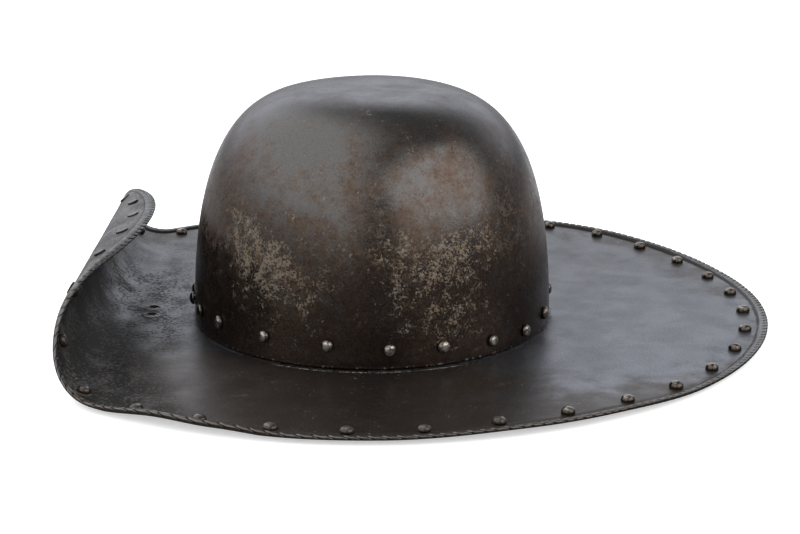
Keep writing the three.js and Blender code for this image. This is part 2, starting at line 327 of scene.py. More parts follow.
def loft(name, rings, loop=False):
    """A smooth skin over rings of points.

    A ring of one point is a pole. A loop joins the last ring to the first.
    """
    starts = []
    points = []
    for ring in rings:
        starts.append(len(points))
        points.extend(ring)
    faces = []
    for low in range(len(rings) if loop else len(rings) - 1):
        high = (low + 1) % len(rings)
        a = starts[low]
        b = starts[high]
        count = max(len(rings[low]), len(rings[high]))
        for i in range(count):
            j = (i + 1) % count
            if len(rings[low]) == 1:
                faces.append((a, b + j, b + i))
            elif len(rings[high]) == 1:
                faces.append((a + i, a + j, b))
            else:
                faces.append((a + i, a + j, b + j, b + i))
    mesh = bpy.data.meshes.new(name)
    mesh.from_pydata(points, [], faces)
    mesh.shade_smooth()
    piece = bpy.data.objects.new(name, mesh)
    bpy.context.collection.objects.link(piece)
    return piece


def point_values(piece, name, values):
    """Stores one number, or one vector, for each point of a piece."""
    vectors = isinstance(values[0], Vector)
    kind = "FLOAT_VECTOR" if vectors else "FLOAT"
    layer = piece.data.attributes.new(name, kind, "POINT")
    if vectors:
        layer.data.foreach_set("vector", [part for value in values for part in value])
    else:
        layer.data.foreach_set("value", values)


def settle(piece):
    """Turns a piece's modifiers into plain mesh."""
    depsgraph = bpy.context.evaluated_depsgraph_get()
    mesh = bpy.data.meshes.new_from_object(piece.evaluated_get(depsgraph), depsgraph=depsgraph)
    piece.modifiers.clear()
    piece.data = mesh


def discard(piece):
    mesh = piece.data
    bpy.data.objects.remove(piece)
    bpy.data.meshes.remove(mesh)


def finish_with(piece, material):
    piece.data.materials.clear()
    piece.data.materials.append(material)


def nodes_named(start):
    return [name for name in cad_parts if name.startswith(start)]


def place_in_hat(piece, nodes):
    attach(piece, "root")
    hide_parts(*nodes)


# Node trees


class Graph:
    """A node tree with short calls for the nodes used here."""

    def __init__(self, tree):
        self.tree = tree

    def feed(self, socket, value):
        if isinstance(value, bpy.types.NodeSocket):
            self.tree.links.new(value, socket)
        else:
            socket.default_value = value

    def node(self, kind, inputs=None, **settings):
        made = self.tree.nodes.new(kind)
        for name, value in settings.items():
            setattr(made, name, value)
        for key, value in (inputs or {}).items():
            self.feed(made.inputs[key], value)
        return made

    def math(self, operation, *values):
        return self.node("ShaderNodeMath", dict(enumerate(values)), operation=operation).outputs[0]

    def fold(self, operation, values):
        total = values[0]
        for value in values[1:]:
            total = self.math(operation, total, value)
        return total

    def product(self, *values):
        return self.fold("MULTIPLY", values)

    def largest(self, *values):
        return self.fold("MAXIMUM", values)

    def add(self, base, mask, share):
        """The base with a share of the mask added."""
        return self.math("MULTIPLY_ADD", mask, share, base)

    def stir(self, base, pattern, share):
        """The base made uneven by a share of a noise pattern, whose middle is a half."""
        return self.add(base, self.math("SUBTRACT", pattern, 0.5), share)

    def ramp(self, value, low, high, start=0.0, end=1.0):
        """Smooth change from start, where the value is low, to end, where it is high."""
        inputs = {0: value, 1: low, 2: high, 3: start, 4: end}
        return self.node("ShaderNodeMapRange", inputs, interpolation_type="SMOOTHSTEP").outputs[0]

    def noise(self, place, scale, detail=4.0, roughness=0.55, distortion=0.0):
        inputs = {
            "Vector": place, "Scale": scale, "Detail": detail, "Roughness": roughness,
            "Distortion": distortion,
        }
        return self.node("ShaderNodeTexNoise", inputs).outputs[0]

    def blend(self, share, first, second):
        """A mix of two colours."""
        inputs = {0: share, 6: first, 7: second}
        return self.node("ShaderNodeMix", inputs, data_type="RGBA").outputs[2]

    def mix(self, share, first, second):
        """A mix of two numbers."""
        return self.node("ShaderNodeMix", {0: share, 2: first, 3: second}).outputs[0]

    def vector(self, operation, first, second):
        return self.node("ShaderNodeVectorMath", {0: first, 1: second}, operation=operation).outputs[0]

    def gap(self, place, point):
        """Distance of a place from a fixed point."""
        made = self.node("ShaderNodeVectorMath", {0: place, 1: point}, operation="DISTANCE")
        return made.outputs["Value"]

    def along(self, direction, distance):
        """A step of a given distance along a direction."""
        made = self.node("ShaderNodeVectorMath", {0: direction, "Scale": distance}, operation="SCALE")
        return made.outputs[0]

    def split(self, vector):
        return tuple(self.node("ShaderNodeSeparateXYZ", {0: vector}).outputs)

    def object_place(self):
        return self.node("ShaderNodeTexCoord").outputs["Object"]

    def stored(self, name, output="Fac"):
        """A value that a piece keeps for its points, read in its material."""
        return self.node("ShaderNodeAttribute", attribute_name=name).outputs[output]

    def point_value(self, name, kind="FLOAT"):
        """A value that a piece keeps for its points, read in a shape's tree."""
        return self.node("GeometryNodeInputNamedAttribute", {0: name}, data_type=kind).outputs[0]

    def group(self, tree, inputs):
        made = self.tree.nodes.new("ShaderNodeGroup")
        made.node_tree = tree
        for key, value in inputs.items():
            self.feed(made.inputs[key], value)
        return made.outputs


def add_sockets(tree, inputs, outputs):
    for title, kind in inputs.items():
        tree.interface.new_socket(title, in_out="INPUT", socket_type=kind)
    for title, kind in outputs.items():
        tree.interface.new_socket(title, in_out="OUTPUT", socket_type=kind)
    given = tree.nodes.new("NodeGroupInput").outputs
    result = tree.nodes.new("NodeGroupOutput").inputs
    return Graph(tree), given, result


def shader_group(name, inputs, outputs):
    tree = bpy.data.node_groups.new(name, "ShaderNodeTree")
    kinds = {title: "NodeSocketVector" if title == "Place" else "NodeSocketFloat" for title in inputs}
    return tree, *add_sockets(tree, kinds, dict.fromkeys(outputs, "NodeSocketFloat"))


def make_rubbed_skin():
    """Small flakes where a dark skin is rubbed away, more of them where the cover is high."""
    tree, graph, given, result = shader_group(
        "rubbed_skin", ("Place", "Cover", "Flake Scale"), ("Bare",))
    clump_scale = graph.product(given["Flake Scale"], 0.22)
    clump = graph.noise(given["Place"], clump_scale, 2.0)
    flake = graph.noise(given["Place"], given["Flake Scale"], 3.0, 0.65, 0.8)
    level = graph.add(flake, clump, 0.6)
    edge = graph.ramp(given["Cover"], 0.0, 1.0, 1.08, 0.74)
    below = graph.math("SUBTRACT", edge, 0.08)
    above = graph.math("ADD", edge, 0.10)
    graph.feed(result["Bare"], graph.ramp(level, below, above))
    return tree


def make_iron_skin():
    """Fine grain and broad mottling of hammered, oiled iron, and a height made of both."""
    tree, graph, given, result = shader_group(
        "iron_skin", ("Place", "Grain Scale", "Mottle Scale"), ("Grain", "Mottle", "Height"))
    grain = graph.noise(given["Place"], given["Grain Scale"], 3.0, 0.6)
    mottle = graph.noise(given["Place"], given["Mottle Scale"], 6.0, 0.62, 0.3)
    graph.feed(result["Grain"], grain)
    graph.feed(result["Mottle"], mottle)
    graph.feed(result["Height"], graph.add(graph.product(grain, 0.5), mottle, 0.5))
    return tree


def make_settled_dirt_and_shade():
    """A mask given as a depth, for grime in low places and for painted shade, with a broken edge."""
    tree, graph, given, result = shader_group("settled_dirt_and_shade", ("Place", "Depth", "Scale"), ("Dirt And Shade",))
    broken = graph.noise(given["Place"], given["Scale"], 4.0, 0.65)
    level = graph.add(given["Depth"], broken, 0.6)
    graph.feed(result["Dirt And Shade"], graph.ramp(level, 0.6, 0.95))
    return tree


RUBBED_SKIN = make_rubbed_skin()
IRON_SKIN = make_iron_skin()
SETTLED_DIRT_AND_SHADE = make_settled_dirt_and_shade()


def flakes(graph, place, cover, scale):
    return graph.group(RUBBED_SKIN, {"Place": place, "Cover": cover, "Flake Scale": scale})["Bare"]


def iron_skin(graph, place, grain_scale, mottle_scale):
    inputs = {"Place": place, "Grain Scale": grain_scale, "Mottle Scale": mottle_scale}
    return graph.group(IRON_SKIN, inputs)


def settled_dirt_and_shade(graph, place, depth, scale):
    return graph.group(SETTLED_DIRT_AND_SHADE, {"Place": place, "Depth": depth, "Scale": scale})["Dirt And Shade"]


# Finishes


def start_finish(name):
    material = bpy.data.materials.new(name)
    material.use_nodes = True
    material.node_tree.nodes.clear()
    graph = Graph(material.node_tree)
    shader = graph.node("ShaderNodeBsdfPrincipled")
    graph.node("ShaderNodeOutputMaterial", {"Surface": shader.outputs[0]})
    return material, graph, shader.inputs


def add_relief(graph, shader, height, depth, strength):
    bump = graph.node("ShaderNodeBump", {"Height": height, "Distance": depth, "Strength": strength})
    graph.feed(shader["Normal"], bump.outputs[0])


def crown_spots(graph, place, rows):
    """The strongest of a list of soft round spots on the crown."""
    spots = []
    for angle, rise, reach, strength in rows:
        x, y = oval_point(CROWN_HALF_WIDTH, math.radians(angle))
        gap = graph.gap(place, Vector((BRIM_CENTRE_X + x, y, rise * MM)))
        full = SPOT_FULL * reach * MM
        end = SPOT_END * reach * MM
        spots.append(graph.ramp(gap, full, end, strength, 0.0))
    return graph.largest(*spots)


def crown_finish():
    """Brown-black oiled skin, rubbed through in patches to tan and grey flakes, with painted light low on
    the left.
    """
    grey_skin = tone(0.084, 0.081, 0.079)
    brown_skin = tone(0.078, 0.053, 0.041)
    brown_foot = tone(0.060, 0.040, 0.031)
    painted_light_left_foot = tone(0.172, 0.130, 0.102)
    dark_grain = tone(0.030, 0.021, 0.017)
    brown_speck = tone(0.088, 0.060, 0.042)
    soot_speck = tone(0.016, 0.012, 0.010)
    tan_haze = tone(0.105, 0.080, 0.058)
    tan_flake = tone(0.205, 0.153, 0.104)
    grey_flake = tone(0.190, 0.168, 0.140)
    bright_fleck = tone(0.42, 0.39, 0.35)

    material, graph, shader = start_finish("crown_iron")
    place = graph.object_place()
    across, _, height = graph.split(place)
    skin = iron_skin(graph, place, GRAIN_SCALE, 60.0)
    cover = graph.ramp(skin["Mottle"], 0.35, 0.7, 0.05, 0.38)
    cover = graph.largest(cover, crown_spots(graph, place, CROWN_RUBBED))
    bare = flakes(graph, place, cover, GRAIN_SCALE)

    browned = crown_spots(graph, place, CROWN_BROWNED)
    patchy = graph.noise(place, 190.0, 5.0, 0.65)
    brown = graph.largest(graph.ramp(height, 45 * MM, 112 * MM, 0.8, 0.0), browned)
    brown = graph.stir(brown, skin["Mottle"], 1.6)
    brown = graph.stir(brown, patchy, 1.8)
    # Painted light: low on the crown the skin turns much lighter towards the left, where light falls on it
    left = graph.ramp(across, BRIM_CENTRE_X - 20 * MM, BRIM_CENTRE_X - 85 * MM)
    foot_skin_and_light = graph.blend(left, brown_foot, painted_light_left_foot)
    low_skin_and_light = graph.blend(graph.ramp(height, 30 * MM, 75 * MM), foot_skin_and_light, brown_skin)
    patina = graph.blend(graph.ramp(brown, 0.0, 1.0), grey_skin, low_skin_and_light)
    darkened = graph.ramp(skin["Grain"], 0.3, 0.62, 0.7, 0.0)
    darkened = graph.product(darkened, graph.ramp(brown, 0.0, 0.9, 0.35, 1.0))
    patina = graph.blend(darkened, patina, dark_grain)

    speckled = graph.product(browned, graph.ramp(height, 38 * MM, 62 * MM, 0.35, 1.0))
    speckled = graph.ramp(graph.stir(speckled, patchy, 0.8), 0.0, 0.8, 0.18, 0.7)
    stained = flakes(graph, graph.vector("ADD", place, (0.3, 0.3, 0.3)), speckled, 1100.0)
    patina = graph.blend(graph.product(stained, 0.6), patina, brown_speck)
    soot = crown_spots(graph, place, CROWN_SOOTED)
    sooted = flakes(graph, graph.vector("ADD", place, (0.7, 0.7, 0.7)), soot, 760.0)
    patina = graph.blend(graph.product(sooted, 0.8), patina, soot_speck)
    haze = graph.ramp(graph.noise(place, 330.0, 4.0, 0.7), 0.44, 0.66)
    haze = graph.product(haze, graph.ramp(cover, 0.1, 0.5, 0.12, 0.6))
    patina = graph.blend(haze, patina, tan_haze)

    flake = graph.blend(graph.ramp(graph.noise(place, 260.0, 2.0), 0.4, 0.6), tan_flake, grey_flake)
    colour = graph.blend(graph.product(bare, 0.85), patina, flake)
    fleck = graph.ramp(graph.noise(place, 420.0, 2.0), 0.56, 0.66)
    at_edge = graph.ramp(height, CROWN_BASE + 1.8 * MM, CROWN_BASE + 0.6 * MM)
    colour = graph.blend(graph.product(fleck, at_edge), colour, bright_fleck)
    graph.feed(shader["Base Color"], colour)

    dull = graph.largest(bare, graph.product(stained, 0.75), graph.product(sooted, 0.8))
    graph.feed(shader["Metallic"], graph.ramp(dull, 0.0, 1.0, 0.95, 0.5))
    smooth = graph.ramp(skin["Mottle"], 0.3, 0.7, 0.22, 0.34)
    graph.feed(shader["Roughness"], graph.mix(dull, smooth, 0.58))
    shader["Specular IOR Level"].default_value = CROWN_SPECULAR
    shader["Specular Tint"].default_value = tone(0.8, 0.8, 0.82)
    add_relief(graph, shader, graph.add(skin["Height"], bare, 0.35), 0.35 * MM, 0.3)
    return material


def length_of(graph, along, across):
    squares = graph.math("ADD", graph.product(along, along), graph.product(across, across))
    return graph.math("SQRT", squares)


def gap_to_brim_rivet(graph, x, y):
    """Distance on the flat brim to the nearest rivet of the row."""
    step = 2.0 * math.pi / BRIM_RIVET_COUNT
    angle = graph.math("ARCTAN2", y, x)
    count = graph.math("DIVIDE", graph.math("SUBTRACT", angle, BRIM_RIVET_FIRST - step / 2), step)
    aside = graph.math("SUBTRACT", graph.math("FRACT", count), 0.5)
    aside = graph.product(aside, step * BRIM_RIVET_CIRCLE)
    inward = graph.math("SUBTRACT", length_of(graph, x, y), BRIM_RIVET_CIRCLE)
    return length_of(graph, aside, inward)


def gap_to_crown(graph, x, y):
    """Distance on the flat brim out from the crown's foot."""
    along = graph.math("SUBTRACT", x, CROWN_CENTRE_X)
    across = graph.math("DIVIDE", graph.math("SUBTRACT", y, CROWN_CENTRE_Y), CROWN_DEPTH_RATIO)
    return graph.math("SUBTRACT", length_of(graph, along, across), CROWN_HALF_WIDTH)


def brim_finish():
    """Blue-grey satin iron, scaly along the bend, with grime by the rivets, the roll and the foot, and
    painted light: shade in the bend's hollow, a sheen on the right, highlights on the holes' lips.
    """
    blue_grey = tone(0.092, 0.096, 0.106)
    clean_sheen_blue_grey = tone(0.165, 0.177, 0.200)
    brown_grey = tone(0.055, 0.045, 0.039)
    dark_grain = tone(0.046, 0.043, 0.042)
    pale_dust = tone(0.20, 0.19, 0.18)
    dark_scale = tone(0.040, 0.038, 0.040)
    hollow_shade_black = tone(0.011, 0.010, 0.0095)
    hollow_shade_streak = tone(0.068, 0.065, 0.063)
    bare_iron = tone(0.125, 0.127, 0.134)
    pit_black = tone(0.026, 0.024, 0.024)
    grime = tone(0.026, 0.019, 0.015)
    rust_tan = tone(0.17, 0.13, 0.085)
    scraped_iron_and_highlight = tone(0.40, 0.385, 0.36)

    material, graph, shader = start_finish("brim_iron")
    place = graph.stored("flat_place", "Vector")
    from_rim = graph.stored("from_rim")
    x, y, level = graph.split(place)
    from_crown = gap_to_crown(graph, x, y)
    skin = iron_skin(graph, place, GRAIN_SCALE, 48.0)

    # Scale and pits along the bend, outside and in
    scaly = graph.product(
        graph.ramp(x, -80 * MM, -118 * MM), graph.ramp(x, -186 * MM, -160 * MM),
        graph.ramp(y, -110 * MM, -50 * MM, 0.2, 1.0), graph.ramp(y, 30 * MM, 110 * MM, 1.0, 0.4))
    upper = graph.ramp(level, -1.2 * MM, -0.3 * MM)
    lower = graph.ramp(upper, 0.0, 1.0, 0.6, 0.0)
    scaly = graph.largest(scaly, graph.product(lower, graph.ramp(x, -140 * MM, -165 * MM)))
    drawn_out = graph.vector("MULTIPLY", place, (0.85, 0.72, 1.0))
    scale = graph.stir(graph.noise(drawn_out, 640.0, 5.0, 0.7), graph.noise(drawn_out, 75.0, 3.0), 0.65)
    pits = graph.product(scaly, graph.ramp(scale, 0.55, 0.38, 0.0, 0.85))
    bare = graph.product(scaly, graph.ramp(scale, 0.52, 0.68, 0.0, 0.6))
    lip_highlights = []
    for hole_x, hole_y in LACING_HOLES:
        gap = graph.gap(place, Vector((hole_x, hole_y, 0.0)))
        bare = graph.largest(bare, graph.ramp(gap, 5.4 * MM, 4.4 * MM))
        pits = graph.product(pits, graph.ramp(gap, 4.4 * MM, 5.4 * MM))
        # Painted highlight: the near side of each hole's lip is coloured pale
        near_side = graph.ramp(y, hole_y - 0.3 * MM, hole_y - 1.6 * MM)
        lip_highlights.append(graph.product(near_side, graph.ramp(gap, 4.9 * MM, 4.1 * MM)))
    worn = graph.ramp(skin["Mottle"], 0.35, 0.72, 0.0, 0.5)
    bare = graph.largest(bare, flakes(graph, place, worn, 520.0))
    specks = graph.ramp(graph.noise(place, 760.0, 1.0), 0.69, 0.78)
    specks = graph.product(specks, graph.ramp(skin["Mottle"], 0.42, 0.62, 0.25, 0.65))
    dust = graph.ramp(graph.noise(place, 1100.0, 3.0, 0.7), 0.58, 0.72)
    dust = graph.product(dust, graph.ramp(x, 40 * MM, -70 * MM, 0.3, 0.75))

    # Grime in corners, rust at one rivet, and a scrape along the crown's foot
    seat = graph.ramp(gap_to_brim_rivet(graph, x, y), 5.2 * MM, 3.8 * MM, 0.0, 0.25)
    foot = graph.ramp(from_crown, 6 * MM, 0.0, 0.0, 0.45)
    roll = graph.ramp(from_rim, 4.8 * MM, 2.6 * MM, 0.0, 0.55)
    dirt_and_shade = settled_dirt_and_shade(graph, place, graph.largest(seat, foot, roll), 260.0)
    rusty = Vector((math.cos(RUSTY_RIVET_ANGLE), math.sin(RUSTY_RIVET_ANGLE), 0.0)) * BRIM_RIVET_CIRCLE
    rust = graph.product(
        graph.ramp(graph.gap(place, rusty), 5.9 * MM, 4.9 * MM), graph.ramp(scale, 0.40, 0.56, 0.2, 0.9),
        graph.ramp(y, rusty.y - 1 * MM, rusty.y - 3 * MM))
    from_scrape = graph.math("ABSOLUTE", graph.math("SUBTRACT", from_crown, 2.3 * MM))
    scrape = graph.product(
        graph.ramp(from_scrape, 1.1 * MM, 0.4 * MM), graph.ramp(y, -100 * MM, -106 * MM),
        graph.ramp(scale, 0.40, 0.60, 0.1, 0.6))
    # Pale specks and the scrape, with the painted highlights on the holes' lips
    bright = graph.largest(specks, scrape, *lip_highlights)

    # Broad marks: painted shade in the bend's hollow, a cleaner right side with a painted sheen, the brown
    # front
    inward = graph.add(graph.add(x, scale, 0.024), y, 0.32)
    # Painted shade: the hollow inside the bend is coloured near black, with paler streaks
    hollow_shade = graph.product(upper, graph.ramp(inward, -122 * MM, -150 * MM))
    # Painted sheen: the right side of the plate is coloured a much lighter blue-grey, and is also less
    # stained
    clean_and_sheen = graph.product(graph.ramp(x, 30 * MM, 150 * MM), graph.ramp(y, 110 * MM, -130 * MM, 0.23, 1.0))
    near_left = graph.product(graph.ramp(x, 0.0, -80 * MM), graph.ramp(y, -30 * MM, -110 * MM))
    stain = graph.add(skin["Mottle"], graph.ramp(from_rim, 40 * MM, 4 * MM), 0.3)
    stain = graph.add(stain, graph.ramp(y, -60 * MM, -150 * MM), 0.34)
    stain = graph.add(stain, clean_and_sheen, -0.3)
    stain = graph.add(stain, near_left, 0.25)

    plate = graph.blend(clean_and_sheen, blue_grey, clean_sheen_blue_grey)
    hollow_shade_streaks = graph.blend(graph.ramp(scale, 0.44, 0.70), hollow_shade_black, hollow_shade_streak)
    bare = graph.product(bare, graph.ramp(hollow_shade, 0.0, 1.0, 1.0, 0.2))
    colour = graph.blend(graph.ramp(stain, 0.48, 0.85), plate, brown_grey)
    colour = graph.blend(graph.ramp(skin["Grain"], 0.36, 0.6, 0.4, 0.0), colour, dark_grain)
    colour = graph.blend(dust, colour, pale_dust)
    colour = graph.blend(graph.product(scaly, 0.34), colour, dark_scale)
    colour = graph.blend(hollow_shade, colour, hollow_shade_streaks)
    colour = graph.blend(bare, colour, bare_iron)
    colour = graph.blend(graph.product(pits, 0.8), colour, pit_black)
    colour = graph.blend(dirt_and_shade, colour, grime)
    colour = graph.blend(rust, colour, rust_tan)
    colour = graph.blend(bright, colour, scraped_iron_and_highlight)
    graph.feed(shader["Base Color"], colour)

    matt = graph.largest(dirt_and_shade, rust, bright, hollow_shade, pits)
    graph.feed(shader["Metallic"], graph.ramp(matt, 0.0, 1.0, 0.95, 0.12))
    smooth = graph.ramp(skin["Mottle"], 0.3, 0.7, 0.345, 0.44)
    graph.feed(shader["Roughness"], graph.mix(matt, smooth, 0.6))
    shader["Specular IOR Level"].default_value = DULL_SPECULAR
    relief = graph.add(graph.add(skin["Height"], pits, -0.5), dust, 0.3)
    add_relief(graph, shader, relief, 0.35 * MM, 0.36)
    return material


def rim_finish():
    """The same iron on the roll, rubbed light on its ridges, dark in the filed cuts, and with painted shade
    under the roll and along its inner edge.
    """
    grey_ridge = tone(0.122, 0.123, 0.128)
    brown_ridge = tone(0.092, 0.082, 0.071)
    front_ridge = tone(0.098, 0.084, 0.072)
    grime_and_shade_black = tone(0.012, 0.010, 0.008)

    material, graph, shader = start_finish("rim_iron")
    place = graph.object_place()
    skin = iron_skin(graph, place, GRAIN_SCALE, 70.0)
    dirt_and_shade = settled_dirt_and_shade(graph, place, graph.stored("soiled"), 300.0)
    colour = graph.blend(graph.ramp(skin["Mottle"], 0.4, 0.65), grey_ridge, brown_ridge)
    front = graph.ramp(graph.split(place)[1], -90 * MM, -190 * MM, 0.0, 0.6)
    colour = graph.blend(front, colour, front_ridge)
    graph.feed(shader["Base Color"], graph.blend(dirt_and_shade, colour, grime_and_shade_black))
    graph.feed(shader["Metallic"], graph.ramp(dirt_and_shade, 0.0, 0.8, 0.95, 0.06))
    graph.feed(shader["Roughness"], graph.ramp(skin["Grain"], 0.3, 0.7, 0.26, 0.42))
    shader["Specular IOR Level"].default_value = DULL_SPECULAR
    add_relief(graph, shader, skin["Height"], 0.25 * MM, 0.25)
    return material


def rivet_finish(name, dome, edge, foot, rough):
    """Hammered iron, rubbed at the top of the dome and dirty at its foot, with painted shade on the rivets
    in the bend and at the front.
    """
    material, graph, shader = start_finish(name)
    place = graph.object_place()
    across, back, _ = graph.split(place)
    rise = graph.stored("rise")
    skin = iron_skin(graph, place, RIVET_GRAIN_SCALE, 420.0)
    dirt_and_shade = settled_dirt_and_shade(graph, place, graph.ramp(rise, 0.02, 0.36, 0.7, 0.0), 700.0)
    rubbed = graph.stir(rise, skin["Mottle"], 1.5)
    colour = graph.blend(graph.ramp(rubbed, 0.7, 1.1), edge, dome)
    # Painted shade: rivets inside the bend and at the front are coloured as dark as their foot
    bend_shade = graph.ramp(across, BRIM_CENTRE_X - 120 * MM, BRIM_CENTRE_X - 140 * MM, 0.0, 0.75)
    front = graph.product(
        graph.ramp(back, -130 * MM, -180 * MM, 0.0, 0.6), graph.ramp(across, 100 * MM, 0.0))
    dirt_and_shade = graph.largest(dirt_and_shade, bend_shade, front)
    graph.feed(shader["Base Color"], graph.blend(dirt_and_shade, colour, foot))
    graph.feed(shader["Metallic"], graph.ramp(dirt_and_shade, 0.0, 1.0, 0.97, 0.4))
    graph.feed(shader["Roughness"], graph.ramp(skin["Mottle"], 0.3, 0.7, rough, rough + 0.14))
    add_relief(graph, shader, skin["Height"], 0.2 * MM, 0.35)
    return material


# Pieces


def crown_point(half_width, height, turn, angle):
    """A point of a crown skin: turn 0 is at its lower edge and a quarter turn at its top."""
    out = half_width * math.cos(turn) ** (2.0 / CROWN_SIDE_POWER)
    up = height * math.sin(turn) ** (2.0 / CROWN_RISE_POWER)
    x, y = oval_point(out, angle)
    return Vector((BRIM_CENTRE_X + x, y, CROWN_BASE + up))


def make_crown():
    """The bowl, from the inner top down to a rounded lower edge and up the hammered outside."""
    around = turns(CROWN_SEGMENTS)
    inner_width = CROWN_HALF_WIDTH - CROWN_WALL
    inner_height = CROWN_HEIGHT - CROWN_WALL
    centre = Vector((BRIM_CENTRE_X + CROWN_CENTRE_X, CROWN_CENTRE_Y, 0.0))
    rings = [[centre + Vector((0.0, 0.0, CROWN_BASE + inner_height))]]

    def ring_turns(count):
        return [math.pi / 2 * (1.0 - (1.0 - i / count) ** 2) for i in range(1, count)]

    for turn in reversed(ring_turns(CROWN_INNER_RINGS)):
        rings.append([crown_point(inner_width, inner_height, turn, angle) for angle in around])
    for i in range(CROWN_EDGE_STEPS + 1):
        roll = math.pi * i / CROWN_EDGE_STEPS
        half_width = CROWN_HALF_WIDTH - CROWN_WALL / 2 * (1.0 + math.cos(roll))
        drop = CROWN_WALL / 2 * (1.0 - math.sin(roll))
        ring = [oval_point(half_width, angle) for angle in around]
        rings.append([Vector((BRIM_CENTRE_X + x, y, CROWN_BASE + drop)) for x, y in ring])
    middle = centre + Vector((0.0, 0.0, CROWN_HEIGHT / 3))
    for turn in ring_turns(CROWN_OUTER_RINGS):
        ring = []
        for angle in around:
            point = crown_point(CROWN_HALF_WIDTH, CROWN_HEIGHT, turn, angle)
            ring.append(point + (middle - point).normalized() * crown_dent(point))
        rings.append(ring)
    top = centre + Vector((0.0, 0.0, CROWN_BASE + CROWN_HEIGHT))
    top.z -= crown_dent(top)
    rings.append([top])
    return loft("crown_bowl", rings)


def hole_lip(x, y):
    """Burr raised round the lacing holes on the upper side."""
    gap = min(math.hypot(x - hole_x, y - hole_y) for hole_x, hole_y in LACING_HOLES)
    return LACING_BURR_RISE * smooth_step(LACING_BURR_FOOT, LACING_BURR_CREST, gap)


def rim_dip(flat, gap, upper):
    """How far the plate dips beside the roll, or rises where the roll is high, by the gap to the roll."""
    lift = value_around(ROLL_LIFTS, flat.x, flat.y) * MM
    full = GROOVE_DEPTH_ABOVE if upper else GROOVE_DEPTH_BELOW
    dip = max(full - lift, GROOVE_LEAST_DEPTH) - max(lift - ROLL_LIFT_TO_FOLLOW, 0.0)
    return dip * smooth_step(GROOVE_END, GROOVE_FULL, gap)


def make_brim():
    """The plate with its collar: upper side from the roll in, collar, then the underside out again."""
    around = turns(BRIM_SEGMENTS)
    collar_top = PLATE_TOP + COLLAR_HEIGHT
    top_start = COLLAR_OUTSIDE + COLLAR_OUTER_BEND
    under_start = COLLAR_INSIDE + COLLAR_INNER_BEND
    rings = []
    flat_places = []
    rim_gaps = []

    def plate_ring(start, share, height, upper):
        ring = []
        for angle in around:
            foot = Vector(oval_point(start, angle))
            outline = outline_point(angle)[0]
            flat = foot.lerp(outline, share)
            gap = (outline - flat).length
            lip = hole_lip(flat.x, flat.y) if upper else 0.0
            ring.append(turn_up(flat.x, flat.y, height + lip - rim_dip(flat, gap, upper)))
            flat_places.append(Vector((flat.x, flat.y, height - HALF_PLATE)))
            rim_gaps.append(gap)
        rings.append(ring)

    def collar_ring(half_width, level):
        ring = []
        for angle in around:
            x, y = oval_point(half_width, angle)
            ring.append(Vector((BRIM_CENTRE_X + x, y, level)))
            flat_places.append(Vector((x, y, level)))
            rim_gaps.append(BRIM_HALF_WIDTH - half_width)
        rings.append(ring)

    for i in range(BRIM_GROOVE_RINGS):
        plate_ring(top_start, 1.0 - BRIM_GROOVE_SHARE * i / BRIM_GROOVE_RINGS, HALF_PLATE, True)
    for i in range(BRIM_UPPER_RINGS + 1):
        share = (1.0 - BRIM_GROOVE_SHARE) * (1.0 - i / BRIM_UPPER_RINGS)
        plate_ring(top_start, share, HALF_PLATE, True)
    for i in range(COLLAR_STEPS + 1):
        rise = COLLAR_OUTER_BEND + (COLLAR_HEIGHT - COLLAR_OUTER_BEND) * i / COLLAR_STEPS
        collar_ring(COLLAR_OUTSIDE, PLATE_TOP + rise)
    for i in range(COLLAR_STEPS + 1):
        level = collar_top + (BRIM_UNDERSIDE + COLLAR_INNER_BEND - collar_top) * i / COLLAR_STEPS
        collar_ring(COLLAR_INSIDE, level)
    for i in range(1, COLLAR_STEPS):
        turn = math.pi / 2 * i / COLLAR_STEPS
        collar_ring(
            COLLAR_INSIDE + COLLAR_INNER_BEND * (1.0 - math.cos(turn)),
            BRIM_UNDERSIDE + COLLAR_INNER_BEND * (1.0 - math.sin(turn)),
        )
    for i in range(BRIM_UNDER_RINGS + 1):
        plate_ring(under_start, i / BRIM_UNDER_RINGS, -HALF_PLATE, False)

    brim = loft("brim_plate", rings, loop=True)
    point_values(brim, "flat_place", flat_places)
    point_values(brim, "from_rim", rim_gaps)
    cut_lacing_holes(brim)
    return brim


def cut_lacing_holes(brim):
    cutter_height = 4 * PLATE_TOP
    cutters = []
    for x, y in LACING_HOLES:
        centre = Vector((BRIM_CENTRE_X + x, y, 0.0))
        circle = [
            centre + LACING_HOLE_RADIUS * Vector((math.cos(angle), math.sin(angle), 0.0))
            for angle in turns(HOLE_SEGMENTS)
        ]
        up = Vector((0.0, 0.0, cutter_height))
        cutter = loft("lacing_hole", [[centre], circle, [point + up for point in circle], [centre + up]])
        cut = brim.modifiers.new("lacing_hole", "BOOLEAN")
        cut.object = cutter
        cut.operation = "DIFFERENCE"
        cut.solver = "MANIFOLD"
        cutters.append(cutter)
    settle(brim)
    for cutter in cutters:
        discard(cutter)


def cut_marks():
    """Outline angles of the filed cuts, unevenly spaced as by hand, ending where they start."""
    pick = random.Random(CUT_SEED)
    marks = [0.0]
    while marks[-1] < 2.0 * math.pi:
        wider = max(math.cos(marks[-1] - CUT_WIDEST_ANGLE), 0.0) ** 3
        pitch = CUT_PITCH + CUT_PITCH_WIDER * wider
        pitch *= pick.uniform(1.0 - CUT_UNEVENNESS, 1.0 + CUT_UNEVENNESS)
        marks.append(marks[-1] + pitch / BRIM_HALF_WIDTH)
    return [mark * 2.0 * math.pi / marks[-1] for mark in marks]


